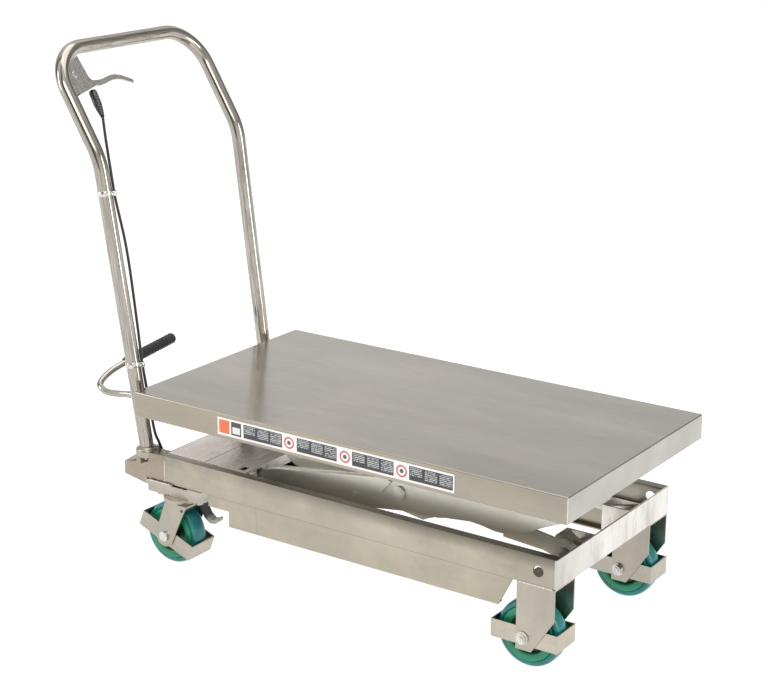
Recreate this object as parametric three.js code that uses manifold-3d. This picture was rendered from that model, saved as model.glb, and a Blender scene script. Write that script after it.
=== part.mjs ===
// Stainless scissor lift table: wheeled base, one pair of scissor arms, foot pump, push handle.
// Millimetres. +Z up, floor at Z = 0. X = 0 is the middle of the deck and the handle is at -X.
// Y = 0 is the symmetry plane. "near" is the -Y side and "far" is the +Y side.
import * as THREE from 'three';
import { mergeVertices } from 'three/addons/utils/BufferGeometryUtils.js';
import Module from 'manifold-3d';

const wasm = await Module();
wasm.setup();

const GAP = 0.3; // clearance left between pieces that touch

// Deck
const DECK_HALF_LENGTH = 480;
const DECK_HALF_WIDTH = 258;
const DECK_TOP = 365;
const DECK_BOTTOM = 315;
const DECK_SHEET = 3;

// Base frame: C-section rails, open towards the middle and bent round the rear corners
const RAIL_OUTER = 214.3;
const RAIL_BOTTOM = 169.3;
const RAIL_TOP = 225.2;
const RAIL_SHEET = 3.5;
const RAIL_TOP_LIP = 19;
const RAIL_BOTTOM_LIP = 30;
const RAIL_FRONT = 434.8;
const RAIL_BACK = -472;
const FRAME_BACK = -503;
const FRAME_CORNER_R = 18;
const FRAME_CORNER_X = FRAME_BACK + FRAME_CORNER_R;
const LIP_INNER = RAIL_OUTER - RAIL_BOTTOM_LIP;
const SHELF_TOP = RAIL_BOTTOM + RAIL_SHEET;

// Scissor: both arm pairs are equally long and cross at their middles
const PIVOT_X = 402.8;
const BASE_PIVOT_Z = 196.5;
const HALF_SPAN = 331.6;
const HALF_RISE = 49.5;
const CENTRE_X = PIVOT_X - HALF_SPAN;
const CENTRE_Z = BASE_PIVOT_Z + HALF_RISE;
const DECK_PIVOT_Z = BASE_PIVOT_Z + 2 * HALF_RISE;
const ROLLER_X = PIVOT_X - 2 * HALF_SPAN;
const INNER_ARM = [110.5, 116];
const OUTER_ARM = [146, 152];
const BASE_ROLLER_R = 23.4;
const DECK_ROLLER_R = 21;

// Casters
const WHEEL_R = 63.5;
const AXLE_R = 6;
const RIGID_X = 375.5;
const RIGID_Y = 179.2;
const SWIVEL_X = -418;
const SWIVEL_Y = 193.4;
const SWIVEL_AXLE_X = -438;
const GUARD_HALF_LENGTH = 67.4;
const GUARD_HEIGHT = 34.5;
const GUARD_SHEET = 3;
const GUARD_TILT = THREE.MathUtils.degToRad(21.5);

// Push handle
const TUBE_R = 14.3;
const HANDLE_FOOT = [-505.6, 198.6, 228];
const HANDLE_KNEE = [-589.6, 210, 800.4];
const HANDLE_TOP = [-710.6, 210, 997.7];
const HANDLE_CORNER_R = 84.5;
const HANDLE_KNEE_R = 132;

// Hydraulic cylinder
const FOOT_X = -150;
const FOOT_Z = 150;
const EYE_X = 229.4;
const EYE_Z = 226.6;
const TIE_DISTANCE = 170; // cross tube, measured along the inner arms from the base pivot
const TIE_R = 10;

// Foot pump
const PEDAL_X = -420;
const PEDAL_Z = 292;
const PEDAL_ROD_R = 6.7;

const group = new THREE.Group();

// ---------- shape helpers ----------

function solid(geometry) {
  const bare = geometry.index ? geometry.toNonIndexed() : geometry.clone();
  bare.deleteAttribute('normal');
  bare.deleteAttribute('uv');
  const merged = mergeVertices(bare, 1e-4);
  return new wasm.Manifold(new wasm.Mesh({
    numProp: 3,
    vertProperties: new Float32Array(merged.attributes.position.array),
    triVerts: new Uint32Array(merged.index.array),
  }));
}

function union(...parts) {
  return parts.reduce((sum, part) => sum.add(part));
}

function cut(body, ...tools) {
  return tools.reduce((rest, tool) => rest.subtract(tool), body);
}

function box(x, y, z) {
  const geometry = new THREE.BoxGeometry(
    Math.abs(x[1] - x[0]), Math.abs(y[1] - y[0]), Math.abs(z[1] - z[0]),
  );
  geometry.translate((x[0] + x[1]) / 2, (y[0] + y[1]) / 2, (z[0] + z[1]) / 2);
  return solid(geometry);
}

// Outline in X and Z, thickened along Y
function plateXZ(outline, y) {
  const points = outline.map(([x, z]) => new THREE.Vector2(x, z));
  const low = Math.min(...y);
  const high = Math.max(...y);
  const geometry = new THREE.ExtrudeGeometry(new THREE.Shape(points), {
    depth: high - low, bevelEnabled: false,
  });
  geometry.rotateX(Math.PI / 2);
  geometry.translate(0, high, 0);
  return solid(geometry);
}

// Outline in Y and Z, thickened along X
function plateYZ(outline, x) {
  const points = outline.map(([y, z]) => new THREE.Vector2(y, z));
  const geometry = new THREE.ExtrudeGeometry(new THREE.Shape(points), {
    depth: x[1] - x[0], bevelEnabled: false,
  });
  geometry.applyMatrix4(new THREE.Matrix4().set(0, 0, 1, x[0], 1, 0, 0, 0, 0, 1, 0, 0, 0, 0, 0, 1));
  return solid(geometry);
}

// Outline in X and Y, thickened along Z
function plateXY(outline, z) {
  const points = outline.map(([x, y]) => new THREE.Vector2(x, y));
  const geometry = new THREE.ExtrudeGeometry(new THREE.Shape(points), {
    depth: z[1] - z[0], bevelEnabled: false,
  });
  geometry.translate(0, 0, z[0]);
  return solid(geometry);
}

function bar(from, to, radius, sides = 12, endRadius = radius) {
  const a = new THREE.Vector3(...from);
  const b = new THREE.Vector3(...to);
  const along = b.clone().sub(a);
  const geometry = new THREE.CylinderGeometry(endRadius, radius, along.length(), sides);
  const turn = new THREE.Quaternion().setFromUnitVectors(
    new THREE.Vector3(0, 1, 0), along.clone().normalize(),
  );
  geometry.applyQuaternion(turn);
  geometry.translate(...a.add(b).multiplyScalar(0.5).toArray());
  return solid(geometry);
}

function barY(x, z, y, radius, sides = 12) {
  return bar([x, y[0], z], [x, y[1], z], radius, sides);
}

function disc(x, y, z, radius, sides = 20) {
  return bar([x, y, z[0]], [x, y, z[1]], radius, sides);
}

// A closed profile of (radius, offset along Y) turned about the Y axis through (x, y, z)
function turned(profile, x, y, z, segments) {
  const points = [...profile, profile[0]].map(([r, h]) => new THREE.Vector2(r, h));
  const geometry = new THREE.LatheGeometry(points, segments);
  geometry.translate(x, y, z);
  return solid(geometry);
}

// Rounds one corner of a path
function bend(before, corner, after, radius, steps) {
  const a = before.clone().sub(corner).normalize();
  const b = after.clone().sub(corner).normalize();
  const half = a.angleTo(b) / 2;
  const centre = corner.clone().add(
    a.clone().add(b).normalize().multiplyScalar(radius / Math.sin(half)),
  );
  const start = corner.clone().addScaledVector(a, radius / Math.tan(half)).sub(centre);
  const end = corner.clone().addScaledVector(b, radius / Math.tan(half)).sub(centre);
  const sweep = start.angleTo(end);
  return Array.from({ length: steps + 1 }, (_, i) => {
    const t = i / steps;
    return centre.clone()
      .addScaledVector(start, Math.sin((1 - t) * sweep) / Math.sin(sweep))
      .addScaledVector(end, Math.sin(t * sweep) / Math.sin(sweep));
  });
}

// Path through given points with rounded corners: [x, y, z, radius, steps]
function rounded(corners) {
  const at = corners.map(([x, y, z]) => new THREE.Vector3(x, y, z));
  return corners.flatMap(([, , , radius, steps], i) => (
    radius ? bend(at[i - 1], at[i], at[i + 1], radius, steps) : [at[i]]
  ));
}

class Route extends THREE.Curve {
  constructor(points) {
    super();
    this.points = points;
  }

  getPointAt(u) {
    return this.points[Math.round(u * (this.points.length - 1))].clone();
  }

  getTangentAt(u) {
    const last = this.points.length - 1;
    const i = Math.round(u * last);
    const ahead = this.points[Math.min(i + 1, last)];
    return ahead.clone().sub(this.points[Math.max(i - 1, 0)]).normalize();
  }
}

function tube(points, radius, sides) {
  const ring = Array.from({ length: sides }, (_, i) => {
    const turn = (2 * Math.PI * i) / sides;
    return new THREE.Vector2(radius * Math.cos(turn), radius * Math.sin(turn));
  });
  return solid(new THREE.ExtrudeGeometry(new THREE.Shape(ring), {
    steps: points.length - 1, extrudePath: new Route(points), bevelEnabled: false,
  }));
}

function add(name, body, color, roughness = 0.35, metalness = 1) {
  const { vertProperties, triVerts } = body.getMesh();
  const geometry = new THREE.BufferGeometry();
  geometry.setAttribute('position', new THREE.BufferAttribute(new Float32Array(vertProperties), 3));
  geometry.setIndex(new THREE.BufferAttribute(new Uint32Array(triVerts), 1));
  geometry.computeVertexNormals();
  const material = new THREE.MeshStandardMaterial({ color, roughness, metalness });
  const mesh = new THREE.Mesh(geometry, material);
  mesh.name = name;
  group.add(mesh);
}

function span(side, [low, high]) {
  return side < 0 ? [-high, -low] : [low, high];
}

// Points on a circle in X and Z, from one angle to another in degrees
function arc(x, z, radius, from, to, steps) {
  return Array.from({ length: steps + 1 }, (_, i) => {
    const turn = THREE.MathUtils.degToRad(from + ((to - from) * i) / steps);
    return [x + radius * Math.cos(turn), z + radius * Math.sin(turn)];
  });
}

const STEEL = 0xb4b0a8;
const BRIGHT = 0xd6d4d0;
const DARK_STEEL = 0x8f8b84;
const HUB_GREEN = 0x28a569;
const TREAD_TEAL = 0x0f8080;
const BLACK = 0x1a1a1a;
const SIDES = [['near', -1], ['far', 1]];

// ---------- base frame ----------

// Handle legs lean back and outwards; (dx, dy) is an offset from the leg's axis
const handleDrop = HANDLE_KNEE.map((v, i) => (v - HANDLE_FOOT[i]) / (HANDLE_KNEE[2] - HANDLE_FOOT[2]));
function onLeg(side, z, dx = 0, dy = 0) {
  const rise = z - HANDLE_FOOT[2];
  return [
    HANDLE_FOOT[0] + handleDrop[0] * rise + dx,
    side * (HANDLE_FOOT[1] + handleDrop[1] * rise + dy),
    z,
  ];
}

const TUBE_BOTTOM = 205;
const COLLAR = [212, 226.5];
const COLLAR_R = 22.7;
const collarDisc = (side, z, radius) => {
  const [x, y] = onLeg(side, 219);
  return disc(x, y, z, radius, 24);
};

for (const [name, side] of SIDES) {
  const profile = [
    [RAIL_OUTER, RAIL_BOTTOM], [LIP_INNER, RAIL_BOTTOM],
    [LIP_INNER, SHELF_TOP], [RAIL_OUTER - RAIL_SHEET, SHELF_TOP],
    [RAIL_OUTER - RAIL_SHEET, RAIL_TOP - RAIL_SHEET],
    [RAIL_OUTER - RAIL_TOP_LIP, RAIL_TOP - RAIL_SHEET],
    [RAIL_OUTER - RAIL_TOP_LIP, RAIL_TOP], [RAIL_OUTER, RAIL_TOP],
  ].map(([y, z]) => [side * y, z]);
  const cornerY = RAIL_OUTER - FRAME_CORNER_R;
  const wrap = plateXY([
    [RAIL_BACK + 1, RAIL_OUTER], ...arc(FRAME_CORNER_X, cornerY, FRAME_CORNER_R, 90, 180, 6),
    ...arc(FRAME_CORNER_X, cornerY, FRAME_CORNER_R - RAIL_SHEET, 180, 90, 6),
    [RAIL_BACK + 1, RAIL_OUTER - RAIL_SHEET],
  ].map(([x, y]) => [x, side * y]), [RAIL_BOTTOM, COLLAR[0] - GAP]);
  const cornerCap = box([-486, -456], span(side, [184, RAIL_OUTER - 1]), [RAIL_TOP - RAIL_SHEET, RAIL_TOP]);
  const access = barY(PIVOT_X, BASE_PIVOT_Z, span(side, [200, 220]), 10.5, 20);
  add(`rail_${name}`, cut(
    union(plateYZ(profile, [RAIL_BACK, RAIL_FRONT]), wrap, cornerCap),
    access, collarDisc(side, [COLLAR[0] - GAP, 260], COLLAR_R + 2 * GAP),
    bar(onLeg(side, TUBE_BOTTOM - 4), onLeg(side, 220), TUBE_R + 1, 24),
  ), STEEL);
}

add('front_end_plate', box(
  [RAIL_FRONT + GAP, RAIL_FRONT + 4], [-RAIL_OUTER, RAIL_OUTER], [RAIL_BOTTOM, RAIL_TOP],
), BRIGHT);

// Cross plate between the rails, with a slot for the release cable
add('rear_end_plate', cut(
  box([-463, -463 + RAIL_SHEET], [-210.4, 210.4], [SHELF_TOP + GAP, RAIL_TOP - RAIL_SHEET - GAP]),
  box([-465, -457], [-137, -96], [188, 206]),
), STEEL);

// Handle sockets: a hollow box arm behind each frame corner, its top rising into a round collar
const ARM_BACK = -570;
const ARM_FRONT = -490.6;
const ARM_Y = [156, 195.6];
function armOutline(inset, below) {
  return [
    [ARM_FRONT - inset, 150 - below], [ARM_FRONT - inset, 196 - inset], [ARM_BACK + inset, 184 - inset],
    [ARM_BACK + inset, 157 - below], [-512, 147 - below],
  ];
}
for (const [name, side] of SIDES) {
  const arm = plateXZ(armOutline(0, 0), span(side, ARM_Y));
  const hollow = plateXZ(armOutline(3, 20), span(side, [ARM_Y[0] + 3, ARM_Y[1] - 3]));
  const [collarX, collarY] = onLeg(side, 219);
  const rim = ARM_Y.flatMap((y) => [[ARM_BACK, side * y, 184], [ARM_FRONT, side * y, 196]]);
  const crown = arc(collarX, collarY, COLLAR_R + 0.3, 0, 345, 23).map(([x, y]) => [x, y, COLLAR[0]]);
  const shoulder = wasm.Manifold.hull([...rim, ...crown]);
  const behindFrame = union(
    box([ARM_BACK - 20, FRAME_BACK - GAP], [-230, 230], [100, 240]),
    box([ARM_BACK - 20, ARM_FRONT], [-ARM_Y[1], ARM_Y[1]], [100, 240]),
  );
  const core = collarDisc(side, [199, COLLAR[1]], COLLAR_R);
  const foot = union(cut(arm, hollow), shoulder, core).intersect(behindFrame);
  const collar = collarDisc(side, COLLAR, COLLAR_R);
  const screw = bar([-501, side * 180, 222], [-499, side * 171, 222], 5, 6);
  const bore = bar(onLeg(side, TUBE_BOTTOM - GAP), onLeg(side, 250), TUBE_R + 0.4, 24);
  add(`handle_socket_${name}`, cut(union(foot, collar, screw), bore), STEEL);
}

// ---------- push handle ----------

const CABLE_R = 2.75;
const knee = (side) => [HANDLE_KNEE[0], side * HANDLE_KNEE[1], HANDLE_KNEE[2], HANDLE_KNEE_R, 4];
const corner = (side) => [HANDLE_TOP[0], side * HANDLE_TOP[1], HANDLE_TOP[2], HANDLE_CORNER_R, 8];
let handle = tube(rounded([
  [...onLeg(-1, TUBE_BOTTOM), 0], knee(-1), corner(-1), corner(1), knee(1), [...onLeg(1, TUBE_BOTTOM), 0],
]), TUBE_R, 16);
// Cable clips on the near leg: height and where the cable passes beside the leg
const CLIPS = [[736, 14, -10.7], [397, 15.4, -9.5]];
for (const [z, dx, dy] of CLIPS) {
  const strap = bar(onLeg(-1, z - 5), onLeg(-1, z + 5), TUBE_R + 1.6, 12);
  const pocket = bar(onLeg(-1, z - 5, dx, dy), onLeg(-1, z + 5, dx, dy), CABLE_R + 2.2, 12);
  const hole = bar(onLeg(-1, z - 9, dx, dy), onLeg(-1, z + 9, dx, dy), CABLE_R + 0.5, 12);
  handle = cut(union(handle, strap, pocket), hole);
}
add('handle_loop', handle, BRIGHT, 0.2);

// Points on the plane of the handle's upper loop: across (Y), up the slope, and off the plane
const slope = new THREE.Vector3(
  HANDLE_TOP[0] - HANDLE_KNEE[0], 0, HANDLE_TOP[2] - HANDLE_KNEE[2],
).normalize();
const facing = new THREE.Vector3(slope.z, 0, -slope.x);
function onLoop(y, up, off) {
  return new THREE.Vector3(HANDLE_KNEE[0], y, HANDLE_KNEE[2])
    .addScaledVector(slope, up).addScaledVector(facing, off).toArray();
}
function loopPlate(outline, off) {
  const points = outline.map(([y, up]) => new THREE.Vector2(y, up));
  const geometry = new THREE.ExtrudeGeometry(new THREE.Shape(points), {
    depth: off[1] - off[0], bevelEnabled: false,
  });
  const start = onLoop(0, 0, off[0]);
  geometry.applyMatrix4(new THREE.Matrix4().set(
    0, slope.x, facing.x, start[0],
    1, 0, 0, 0,
    0, slope.z, facing.z, start[2],
    0, 0, 0, 1,
  ));
  return solid(geometry);
}

// Lever bracket: a plate in the handle's near corner, with a lip and the lever's rivet
const RIVET = [-170, 177];
const cornerY = -(HANDLE_TOP[1] - HANDLE_CORNER_R);
const cornerUp = Math.hypot(HANDLE_TOP[0] - HANDLE_KNEE[0], HANDLE_TOP[2] - HANDLE_KNEE[2]) - HANDLE_CORNER_R;
const bracketPlate = loopPlate([
  [-194.8, 131], [-128, 146], [-140, 168],
  ...arc(cornerY, cornerUp, HANDLE_CORNER_R - TUBE_R - 2 * GAP, 106, 180, 8),
], [-1.5, 1.5]);
const bracketLip = loopPlate([[-194.8, 131], [-128, 146], [-128.8, 149], [-194.8, 134.2]], [-1.5, 12]);
const rivetPin = bar(onLoop(...RIVET, -8.2), onLoop(...RIVET, 4.5), 4, 12);
const rivetHead = bar(onLoop(...RIVET, -9.6), onLoop(...RIVET, -7.4), 7, 12);
const rivetFace = bar(onLoop(...RIVET, 1), onLoop(...RIVET, 3.6), 7, 12);
add('lever_bracket', union(bracketPlate, bracketLip, rivetPin, rivetHead, rivetFace), BRIGHT);

const leverCentre = [
  [-170, 177, 9], [-152, 163, 8], [-136, 155, 6.4], [-120, 152.5, 6], [-107, 153, 5.8],
  [-93, 155.5, 5.6], [-78, 158.5, 5.4], [-64, 158.5, 5.2], [-50, 155, 5], [-36, 149, 4.6], [-22, 142.5, 4],
];
const leverTop = leverCentre.map(([y, up, half]) => [y, up + half]);
const leverBottom = leverCentre.map(([y, up, half]) => [y, up - half]).reverse();
const leverEye = bar(onLoop(...RIVET, -6.8), onLoop(...RIVET, -1.9), 11, 12);
const leverBar = loopPlate([...leverBottom, ...leverTop], [-6.8, -1.9]);
const leverBore = bar(onLoop(...RIVET, -12), onLoop(...RIVET, 6), 4.4, 12);
add('release_lever', cut(union(leverBar, leverEye), leverBore), BRIGHT, 0.3);

// Release cable: rubber boot below the bracket, then down the inside of the near leg to the pump
const bootTop = [-660, -147, 916];
const bootEnd = [-614, -171, 876];
add('cable_boot', bar(bootTop, bootEnd, 8.5, 20, 3.6), BLACK, 0.35, 0);

const bootDirection = new THREE.Vector3(...bootEnd).sub(new THREE.Vector3(...bootTop)).normalize();
const cableStart = new THREE.Vector3(...bootEnd).addScaledVector(bootDirection, 3 * GAP);
const clipped = ([z, dx, dy]) => [z + 8, z, z - 8].map((at) => new THREE.Vector3(...onLeg(-1, at, dx, dy)));
const [upperClip, lowerClip] = CLIPS.map(clipped);
const cableGuide = new THREE.CatmullRomCurve3([
  cableStart, new THREE.Vector3(-594, -186, 836), ...upperClip,
  new THREE.Vector3(-550, -188, 629), new THREE.Vector3(-528, -189, 478), ...lowerClip,
  new THREE.Vector3(...onLeg(-1, 320, 15.5, -11)), new THREE.Vector3(-494, -185, 253),
  new THREE.Vector3(-490.5, -180.5, 238), new THREE.Vector3(-487, -177, 224),
  new THREE.Vector3(-482.5, -173, 210), new THREE.Vector3(-477, -163, 200),
  new THREE.Vector3(-461.2, -117, 197),
  new THREE.Vector3(-447, -65, 196), new THREE.Vector3(-440, -39, 196),
], false, 'centripetal');
add('release_cable', tube(cableGuide.getSpacedPoints(52), CABLE_R, 8), BLACK, 0.4, 0);

// ---------- pump, its tray and cover ----------

const TRAY_HALF_WIDTH = LIP_INNER - GAP;
add('pump_tray', union(
  box([-470, -250], [-TRAY_HALF_WIDTH, TRAY_HALF_WIDTH], [RAIL_BOTTOM, SHELF_TOP]),
  box([-470, -466.5], [-170, 170], [SHELF_TOP - 1, 188]),
  box([-253.5, -250], [-140, 140], [SHELF_TOP - 1, 188]),
), DARK_STEEL, 0.45);

const COVER_BACK = -456;
const COVER_FOLD = -360;
const COVER_FRONT = -257;
const COVER_HALF_WIDTH = RAIL_OUTER - RAIL_TOP_LIP - 2 * GAP;
const PLUNGER_X = PEDAL_X - 20;
const coverSheet = plateXZ([
  [COVER_BACK, 222], [COVER_FOLD, 223.5], [COVER_FRONT - 2.5, 223.5], [COVER_FRONT - 2.5, 205],
  [COVER_FRONT, 205], [COVER_FRONT, 226], [COVER_FOLD, 226], [COVER_BACK, 224.5],
], [-COVER_HALF_WIDTH, COVER_HALF_WIDTH]);
const coverSlot = box([PLUNGER_X - 14, PEDAL_X + 15], [-30, 30], [200, 240]);
const coverNotch = box([-281, -268], [-187, -168], [215, 230]);
const coverGroove = box([COVER_FOLD - 1.2, COVER_FOLD + 1.2], [-220, 220], [225, 230]);
const armSlots = SIDES.flatMap(([, side]) => [
  box([-261, -256], span(side, [143, 161]), [200, 222]),
  box([-261, -256], span(side, [184, 205]), [200, 222]),
]);
const coverBolts = [[-172, 214.6], [-128, 214.6]].map(([y, z]) => union(
  bar([COVER_FRONT - 1, y, z], [COVER_FRONT + 6, y, z], 6.5, 6),
  bar([COVER_FRONT - 1, y, z], [COVER_FRONT + 1.6, y, z], 8.5, 12),
));
const cover = cut(coverSheet, coverSlot, coverNotch, coverGroove, ...armSlots);
add('pump_cover', union(cover, ...coverBolts), BRIGHT, 0.3);

const PUMP_BOTTOM = SHELF_TOP + GAP;
const block = box([-452, -392], [-38, 38], [PUMP_BOTTOM, 216]);
const post = union(
  box([PEDAL_X - 12, PEDAL_X + 12], [-24, 24], [210, PEDAL_Z]),
  barY(PEDAL_X, PEDAL_Z, [-24, 24], 12, 12),
);
const postSlot = box([PLUNGER_X - 12, PEDAL_X + 13], [-8, 8], [262, 320]);
const plungerBore = disc(PLUNGER_X, 0, [188, 232], 5.4, 12);
const pedalBore = barY(PEDAL_X, PEDAL_Z, [-30, 30], PEDAL_ROD_R + 0.4, 12);
const guide = cut(disc(PLUNGER_X, 0, [210, 232], 10, 12));
const reservoir = bar([-394, 0, 195.5], [-268, 0, 195.5], 21, 20);
const gland = disc(-426, -26, [214, 218], 7, 12);
add('pump_unit', cut(
  union(block, post, guide, reservoir, gland), postSlot, plungerBore, pedalBore,
), DARK_STEEL, 0.5);

const plungerHead = disc(PLUNGER_X, 0, [277, 281], 6.5, 12);
add('pump_plunger', union(disc(PLUNGER_X, 0, [198, 279], 5, 12), plungerHead), BRIGHT, 0.15);

// Pedal: cross shaft in the pump post, arm to the rear, and a bend back across for the foot
const PEDAL_Y = -163.5;
const pedalBend = new THREE.CatmullRomCurve3([
  [-540, PEDAL_Y, 309.5], [-580, PEDAL_Y, 313.5], [-608, -167, 310.5], [-637, -173, 312.5],
  [-656, -167, 321], [-665, -130, 335], [-661, -89, 345.5],
].map((p) => new THREE.Vector3(...p)), false, 'centripetal').getSpacedPoints(14);
const pedalRod = tube([
  ...rounded([
    [PEDAL_X, 27, PEDAL_Z, 0], [PEDAL_X, PEDAL_Y, PEDAL_Z, 22, 5], [-540, PEDAL_Y, 309.5, 0],
  ]).slice(0, -1),
  ...pedalBend, new THREE.Vector3(-656, 52, 364),
], PEDAL_ROD_R, 10);
const finger = union(
  barY(PEDAL_X, PEDAL_Z, [-6.5, 6.5], 10, 12),
  box([PLUNGER_X - 5, PEDAL_X], [-6.5, 6.5], [284, 294]),
  barY(PLUNGER_X, 287.6, [-6.5, 6.5], 6.2, 12),
);
add('pedal_rod', union(pedalRod, finger), BRIGHT, 0.25);

const gripAt = (t) => [-661 + 5 * t, -89 + 141 * t, 345.5 + 18.5 * t];
const gripBore = bar(gripAt(-0.2), gripAt(1.012), PEDAL_ROD_R + GAP, 14);
add('pedal_grip', cut(bar(gripAt(0.03), gripAt(1.05), 11.5, 20), gripBore), BLACK, 0.8, 0);

// ---------- skirts under the rails ----------

const SKIRT_BOTTOM = 110;
const SKIRT_TOP = RAIL_BOTTOM - GAP;
const SKIRT_OUTER = 208;
for (const [name, side] of SIDES) {
  const sheet = plateXZ([
    [-342, SKIRT_TOP], [-342, 142], [-291, 142], [-291, SKIRT_BOTTOM], [320, SKIRT_BOTTOM], [350, SKIRT_TOP],
  ], span(side, [SKIRT_OUTER - 3, SKIRT_OUTER]));
  const lip = box([-291, 318], span(side, [SKIRT_OUTER - 16, SKIRT_OUTER]), [SKIRT_BOTTOM, SKIRT_BOTTOM + 3]);
  const topLip = box([-342, 352], span(side, [SKIRT_OUTER - 18, SKIRT_OUTER]), [SKIRT_TOP - 3, SKIRT_TOP]);
  const seam = box([-223.6, -223], span(side, [SKIRT_OUTER - 0.6, SKIRT_OUTER + 1]), [100, 180]);
  add(`skirt_${name}`, cut(union(sheet, lip, topLip), seam), STEEL);
}

// ---------- base pivot brackets, welded inside the front end plate ----------

const PIN_R = 8;
const BRACKET_FRONT = 434.6;
for (const [name, side] of SIDES) {
  const cheek = (slab) => box([376, BRACKET_FRONT], span(side, slab), [173, 221.5]);
  const back = box([BRACKET_FRONT - 3.6, BRACKET_FRONT], span(side, [66, 110]), [173, 221.5]);
  const gusset = plateXY(
    [[376, side * 110], [BRACKET_FRONT, side * 110], [376, side * 66]], [218, 221.5],
  );
  const pin = barY(PIVOT_X, BASE_PIVOT_Z, span(side, [68, 119]), PIN_R, 12);
  const head = barY(PIVOT_X, BASE_PIVOT_Z, span(side, [116.5, 121]), 13, 12);
  const bracket = union(cheek([106, 110]), cheek([66, 70]), back, gusset, pin, head);
  add(`base_pivot_bracket_${name}`, bracket, STEEL, 0.4);
}

// ---------- scissor arms ----------

const hexHead = (x, z, y, across) => barY(x, z, y, across, 6);

const armAngle = Math.atan2(HALF_RISE, HALF_SPAN);
const armLength = 2 * Math.hypot(HALF_SPAN, HALF_RISE);
const BELLY = 54; // how far the inner arms' deep part reaches below their centre line
// Inner arms rise from the base pivot towards the handle. (s, t) runs along and across the arm.
function innerPoint(s, t) {
  return [
    PIVOT_X - s * Math.cos(armAngle) + t * Math.sin(armAngle),
    BASE_PIVOT_Z + s * Math.sin(armAngle) + t * Math.cos(armAngle),
  ];
}
const localArc = (s, radius, from, to, steps) => arc(s, 0, radius, from, to, steps)
  .map(([a, b]) => innerPoint(a, b));
const innerOutline = [
  ...localArc(0, 18, 90, 270, 8), innerPoint(45, -13), innerPoint(95, -17), innerPoint(128.5, -19.8),
  innerPoint(129.5, -12), innerPoint(190, -15.5), innerPoint(269, -36), innerPoint(290.5, -48.3),
  innerPoint(298, -BELLY), innerPoint(600, -BELLY), innerPoint(640, -34),
  ...localArc(armLength, 19, 270, 450, 8),
  innerPoint(armLength - 40, 30), innerPoint(136, 30), innerPoint(120, 18),
];
const STUB_R = 7;
const [tieX, tieZ] = innerPoint(TIE_DISTANCE, 0);
let innerFrame = union(
  barY(CENTRE_X, CENTRE_Z, [-158, 158], 10, 12), barY(tieX, tieZ, [-111, 111], TIE_R, 12),
  barY(CENTRE_X, CENTRE_Z, [-157, -152.4], 13.5, 12), barY(CENTRE_X, CENTRE_Z, [152.4, 157], 13.5, 12),
);
for (const [, side] of SIDES) {
  const plate = plateXZ(innerOutline, span(side, INNER_ARM));
  const flange = plateXZ([
    innerPoint(150, 27), innerPoint(armLength - 50, 27), innerPoint(armLength - 50, 30), innerPoint(150, 30),
  ], span(side, [98, INNER_ARM[1]]));
  const stub = barY(ROLLER_X, DECK_PIVOT_Z, span(side, [113, 141]), STUB_R, 12);
  const cap = barY(ROLLER_X, DECK_PIVOT_Z, span(side, [139.3, 142]), 11, 12);
  const bore = barY(PIVOT_X, BASE_PIVOT_Z, span(side, [100, 120]), PIN_R + 0.4, 12);
  innerFrame = innerFrame.add(cut(union(plate, flange, stub, cap), bore));
}
add('inner_arm_frame', innerFrame, DARK_STEEL, 0.4);

// Outer arms: deep plates pinned to the deck at the free end, with a doubler over the roller half.
// Outlines are given as X and the height above (or below) the arm's centre line.
const aboveLine = ([x, t]) => [x, CENTRE_Z + (x - CENTRE_X) * Math.tan(armAngle) + t];
const outerOutline = [
  ...arc(ROLLER_X, BASE_PIVOT_Z, 22, 110, 270, 9), aboveLine([-225, -28]), aboveLine([-200, -33]),
  ...[[100, -35], [130, -40], [155, -42], [205, -39], [246, -48], [275, -57], [294, -60], [320, -58],
    [351, -50], [380, -40], [408, -32], [428, -22], [437, -4], [432, 16], [416, 29], [396, 33],
    [-205, 33], [-232, 26]].map(aboveLine),
];
const doublerOutline = [
  [-264, -2], [-264, 17], [-240, 26], [-205, 29], [38, 29], [54, 21], [31.5, -2],
].map(aboveLine);
const doublerFlange = [
  [-236, 23.4], [-204, 26.2], [42, 26.2], [37, 29.5], [-205.5, 29.5], [-236, 27.2],
].map(aboveLine);
const smallBolt = aboveLine([-30, -10]);
for (const [name, side] of SIDES) {
  const plate = plateXZ(outerOutline, span(side, OUTER_ARM));
  const doubler = plateXZ(doublerOutline, span(side, [151.5, 155]));
  const flange = plateXZ(doublerFlange, span(side, [150.8, 158]));
  const stub = barY(ROLLER_X, BASE_PIVOT_Z, span(side, [149, 206]), STUB_R, 12);
  const cap = barY(ROLLER_X, BASE_PIVOT_Z, span(side, [205.3, 208]), 11, 12);
  const bolt = hexHead(...smallBolt, span(side, [151, 155.6]), 5.5);
  const bores = [
    barY(CENTRE_X, CENTRE_Z, span(side, [140, 170]), 10.4, 12),
    barY(PIVOT_X, DECK_PIVOT_Z, span(side, [140, 170]), PIN_R + 0.4, 12),
  ];
  add(`outer_arm_${name}`, cut(union(plate, doubler, flange, stub, cap, bolt), ...bores), STEEL, 0.4);
}

for (const [name, side] of SIDES) {
  const baseRoller = cut(
    barY(ROLLER_X, BASE_PIVOT_Z, span(side, [188, 205]), BASE_ROLLER_R, 24),
    barY(ROLLER_X, BASE_PIVOT_Z, span(side, [180, 210]), STUB_R + 0.4, 12),
  );
  add(`base_roller_${name}`, baseRoller, BRIGHT, 0.3);
  const deckRoller = cut(
    barY(ROLLER_X, DECK_PIVOT_Z, span(side, [119, 139]), DECK_ROLLER_R, 24),
    barY(ROLLER_X, DECK_PIVOT_Z, span(side, [110, 145]), STUB_R + 0.4, 12),
  );
  add(`deck_roller_${name}`, deckRoller, BRIGHT, 0.3);
}

// ---------- deck ----------

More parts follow.
